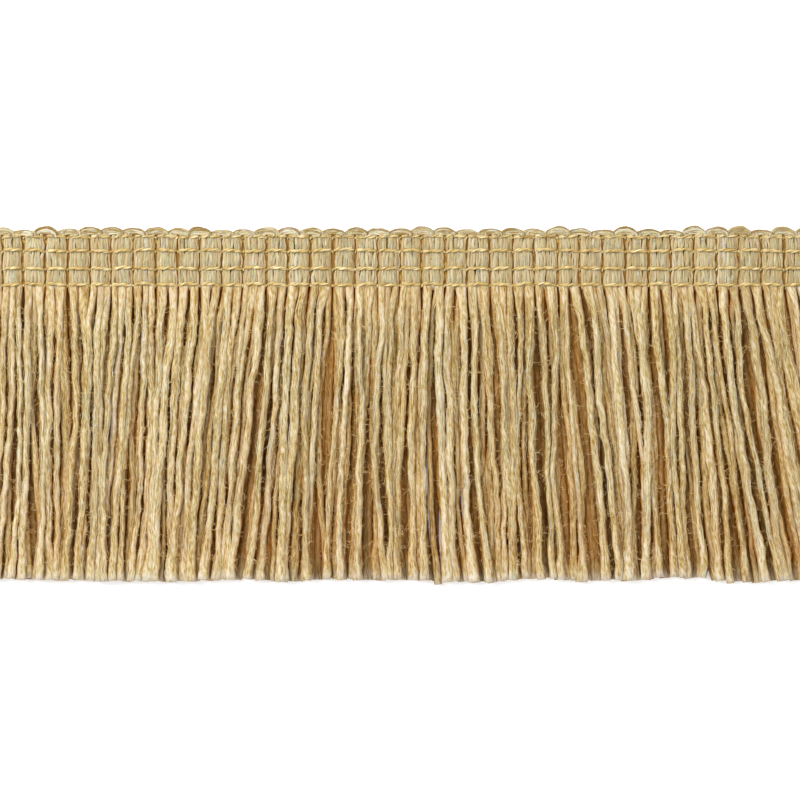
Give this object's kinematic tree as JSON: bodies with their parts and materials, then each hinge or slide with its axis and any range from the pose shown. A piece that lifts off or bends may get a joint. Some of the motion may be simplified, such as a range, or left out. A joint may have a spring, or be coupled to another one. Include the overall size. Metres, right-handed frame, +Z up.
{
  "type": "brush fringe trim",
  "caption": "Length of brush fringe trim: a flat stitched heading of looped yarn bundles over a thick skirt of loose cut yarn strands.",
  "frame": {"origin": "middle of the heading's flat back face, half way along the length and half way down the heading", "axes": "+X along the trim, +Y from the cut ends towards the looped edge, +Z up from the surface it lies on, out of its face"},
  "size_m": [0.1865, 0.0765, 0.0045],
  "materials": {
    "yarn": "matt soft-spun straw yarn",
    "stitch_thread": "gold plied thread with a soft sheen"
  },
  "bodies": {
    "root": {"heading": "yarn", "skirt": "yarn", "stitch_row_1": "stitch_thread", "stitch_row_2": "stitch_thread", "stitch_row_3": "stitch_thread", "stitch_row_4": "stitch_thread"}
  },
  "joints": []
}
